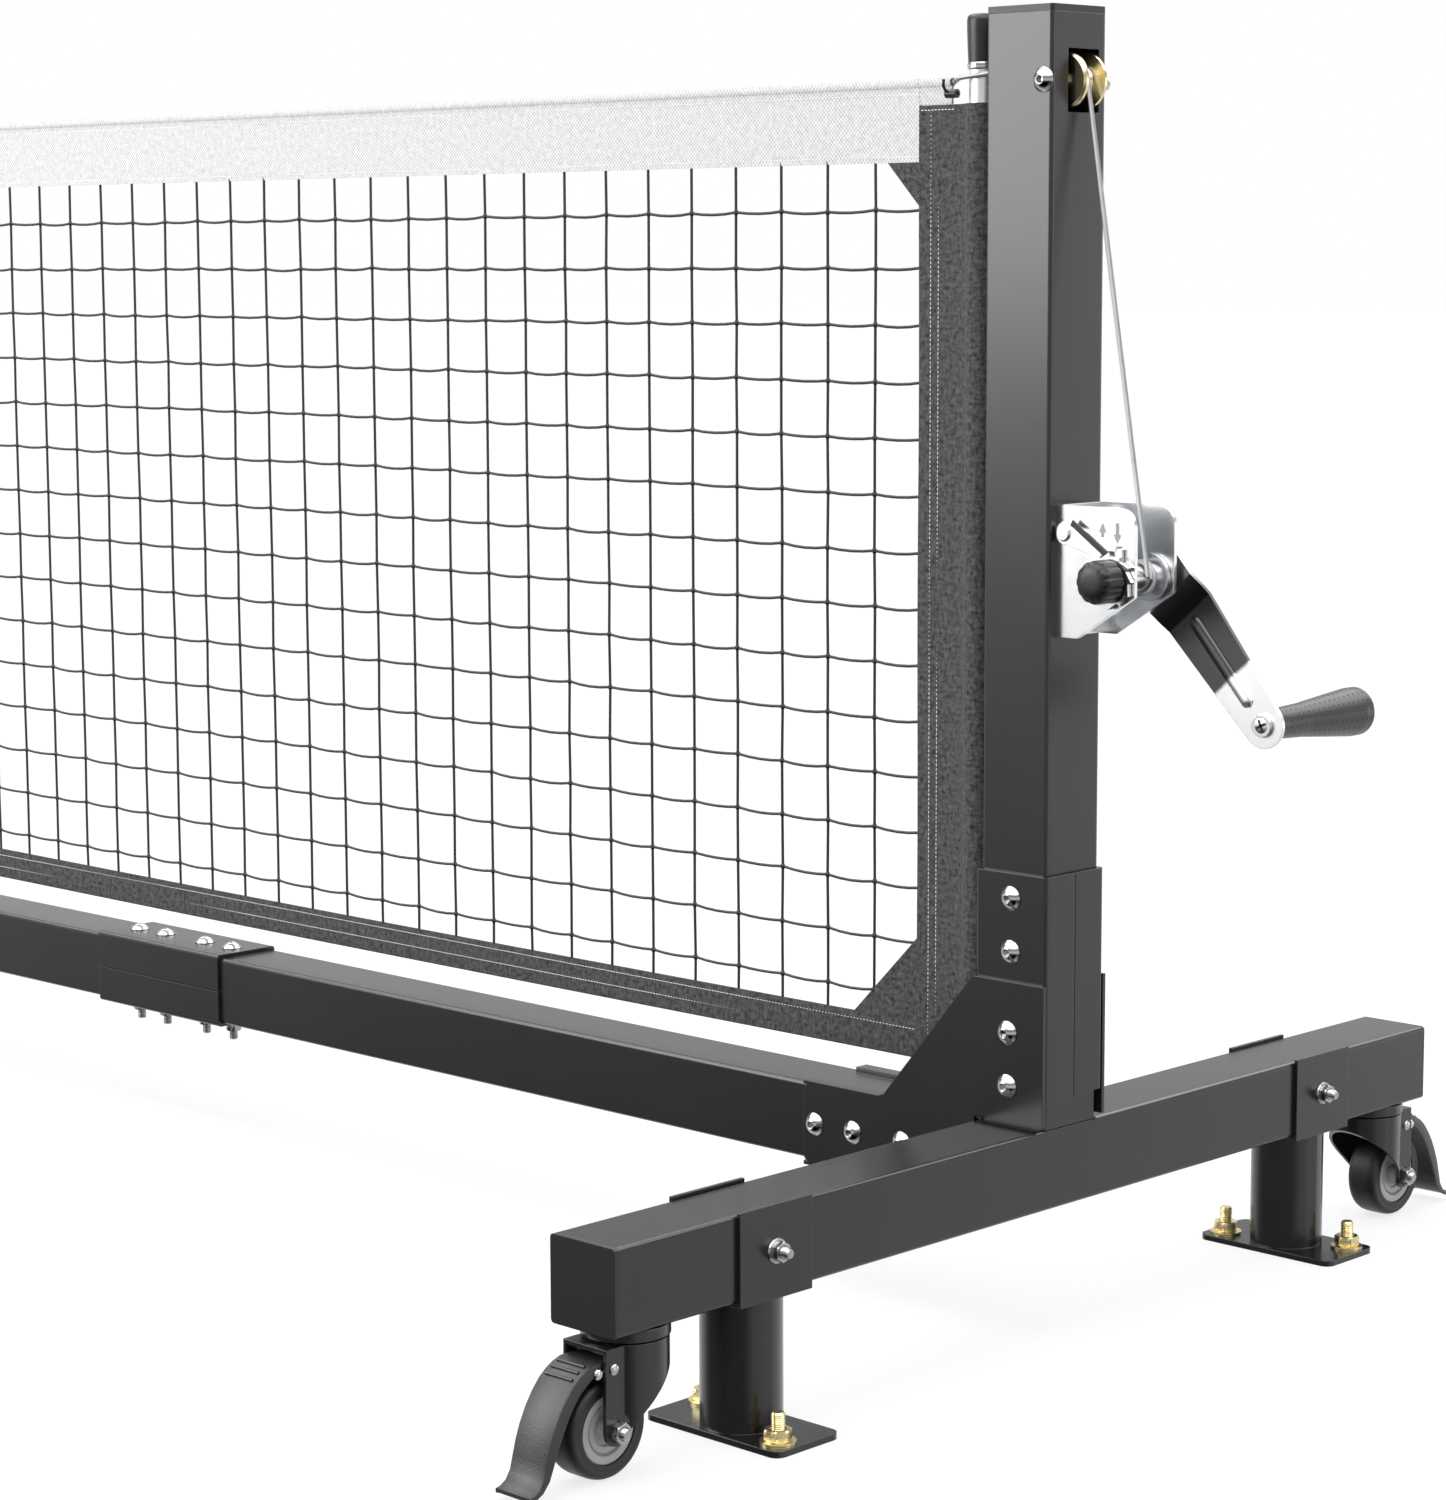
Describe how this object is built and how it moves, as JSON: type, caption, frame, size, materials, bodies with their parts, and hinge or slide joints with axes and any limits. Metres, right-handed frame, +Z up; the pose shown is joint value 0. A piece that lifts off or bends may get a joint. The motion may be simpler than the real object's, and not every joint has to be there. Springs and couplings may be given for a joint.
{
  "type": "pickleball net",
  "caption": "Free-standing pickleball net on a rolling steel frame, with anchor stands, braked casters and a crank winch that tightens its wire rope.",
  "frame": {"origin": "on the floor, under the middle of the whole object's outline, crank included", "axes": "+X runs along the net towards the winch end, +Z is up, +Y is away from the side with the winch knob"},
  "size_m": [6.9539, 1.052, 0.96],
  "materials": {
    "frame_paint": "satin",
    "black_plastic": "satin",
    "bright_bolt": "polished",
    "yellow_zinc": "yellow zinc plated",
    "zinc": "zinc plated",
    "brass": "polished",
    "tyre": "matt",
    "hub_plastic": "satin",
    "grip_plastic": "matt",
    "steel_rope": "bare wire",
    "pole_metal": "satin",
    "black_canvas": "woven",
    "white_canvas": "woven",
    "net_twine": "knotted twine"
  },
  "bodies": {
    "frame": {"post_winch_end": "frame_paint", "post_far_end": "frame_paint", "foot_winch_end": "frame_paint", "foot_far_end": "frame_paint", "tube_caps": "black_plastic", "beam_end_sections": "frame_paint", "beam_middle_sections": "frame_paint", "post_sleeve_halves": "frame_paint", "beam_sleeve_halves": "frame_paint", "gusset_plates": "frame_paint", "frame_bolts": "bright_bolt", "frame_nuts": "zinc", "anchor_stands_front": "frame_paint", "anchor_stands_back": "frame_paint", "anchor_cross_bolts": "zinc", "anchor_cross_nuts": "zinc", "floor_bolts": "yellow_zinc", "floor_nuts": "yellow_zinc", "floor_washers": "yellow_zinc", "caster_collars": "zinc", "pulley_axle": "bright_bolt", "winch_frame": "zinc", "winch_fasteners": "zinc", "wire_rope": "steel_rope", "rope_ferrules": "black_plastic", "net_poles": "pole_metal", "net_pole_caps": "black_plastic", "side_bands": "black_canvas", "headband": "white_canvas", "bottom_band": "black_canvas", "net_panel": "net_twine"},
    "crank": {"winch_drum": "zinc", "ratchet_wheel": "zinc", "winch_knob": "black_plastic", "crank_arm": "zinc", "crank_fasteners": "zinc", "rope_turns": "steel_rope"},
    "grip": {"crank_grip": "grip_plastic"},
    "pulley": {"pulley": "brass"},
    "pawl": {"pawl": "zinc"},
    "caster_winch_front": {"fork_winch_front": "frame_paint", "axle_set_winch_front": "zinc"},
    "wheel_winch_front": {"hub_winch_front": "hub_plastic", "tyre_winch_front": "tyre"},
    "pedal_winch_front": {"brake_pedal_winch_front": "frame_paint"},
    "caster_winch_back": {"fork_winch_back": "frame_paint", "axle_set_winch_back": "zinc"},
    "wheel_winch_back": {"hub_winch_back": "hub_plastic", "tyre_winch_back": "tyre"},
    "pedal_winch_back": {"brake_pedal_winch_back": "frame_paint"},
    "caster_far_front": {"fork_far_front": "frame_paint", "axle_set_far_front": "zinc"},
    "wheel_far_front": {"hub_far_front": "hub_plastic", "tyre_far_front": "tyre"},
    "pedal_far_front": {"brake_pedal_far_front": "frame_paint"},
    "caster_far_back": {"fork_far_back": "frame_paint", "axle_set_far_back": "zinc"},
    "wheel_far_back": {"hub_far_back": "hub_plastic", "tyre_far_back": "tyre"},
    "pedal_far_back": {"brake_pedal_far_back": "frame_paint"}
  },
  "joints": [
    {"name": "swivel_winch_front", "type": "hinge", "parent": "frame", "child": "caster_winch_front", "pos_m": [3.292, -0.424, 0.095], "axis": [0, 0, 1], "range_deg": [-125, 125]},
    {"name": "wheel_spin_winch_front", "type": "hinge", "parent": "caster_winch_front", "child": "wheel_winch_front", "pos_m": [3.292, -0.452, 0.035], "axis": [1, 0, 0], "continuous": true},
    {"name": "brake_winch_front", "type": "hinge", "parent": "caster_winch_front", "child": "pedal_winch_front", "pos_m": [3.292, -0.454, 0.077], "axis": [-1, 0, 0], "range_deg": [0, 25]},
    {"name": "swivel_winch_back", "type": "hinge", "parent": "frame", "child": "caster_winch_back", "pos_m": [3.292, 0.424, 0.095], "axis": [0, 0, 1], "range_deg": [-125, 125]},
    {"name": "wheel_spin_winch_back", "type": "hinge", "parent": "caster_winch_back", "child": "wheel_winch_back", "pos_m": [3.292, 0.452, 0.035], "axis": [1, 0, 0], "continuous": true},
    {"name": "brake_winch_back", "type": "hinge", "parent": "caster_winch_back", "child": "pedal_winch_back", "pos_m": [3.292, 0.454, 0.077], "axis": [1, 0, 0], "range_deg": [0, 25]},
    {"name": "swivel_far_front", "type": "hinge", "parent": "frame", "child": "caster_far_front", "pos_m": [-3.414, -0.424, 0.095], "axis": [0, 0, 1], "range_deg": [-125, 125]},
    {"name": "wheel_spin_far_front", "type": "hinge", "parent": "caster_far_front", "child": "wheel_far_front", "pos_m": [-3.414, -0.452, 0.035], "axis": [1, 0, 0], "continuous": true},
    {"name": "brake_far_front", "type": "hinge", "parent": "caster_far_front", "child": "pedal_far_front", "pos_m": [-3.414, -0.454, 0.077], "axis": [-1, 0, 0], "range_deg": [0, 25]},
    {"name": "swivel_far_back", "type": "hinge", "parent": "frame", "child": "caster_far_back", "pos_m": [-3.414, 0.424, 0.095], "axis": [0, 0, 1], "range_deg": [-125, 125]},
    {"name": "wheel_spin_far_back", "type": "hinge", "parent": "caster_far_back", "child": "wheel_far_back", "pos_m": [-3.414, 0.452, 0.035], "axis": [1, 0, 0], "continuous": true},
    {"name": "brake_far_back", "type": "hinge", "parent": "caster_far_back", "child": "pedal_far_back", "pos_m": [-3.414, 0.454, 0.077], "axis": [1, 0, 0], "range_deg": [0, 25]},
    {"name": "crank_turn", "type": "hinge", "parent": "frame", "child": "crank", "pos_m": [3.372, 0, 0.561], "axis": [0, 1, 0], "continuous": true},
    {"name": "grip_spin", "type": "hinge", "parent": "crank", "child": "grip", "pos_m": [3.45943, 0.05, 0.46078], "axis": [0, 1, 0], "continuous": true},
    {"name": "pulley_spin", "type": "hinge", "parent": "frame", "child": "pulley", "pos_m": [3.314, 0.0045, 0.908], "axis": [0, 1, 0], "continuous": true},
    {"name": "pawl_lift", "type": "hinge", "parent": "frame", "child": "pawl", "pos_m": [3.331, -0.0229, 0.5925], "axis": [0, -1, 0], "range_deg": [0, 30]}
  ],
  "couplings": [
    {"joint": "pulley_spin", "follows": "crank_turn", "ratio": 1.0043}
  ]
}
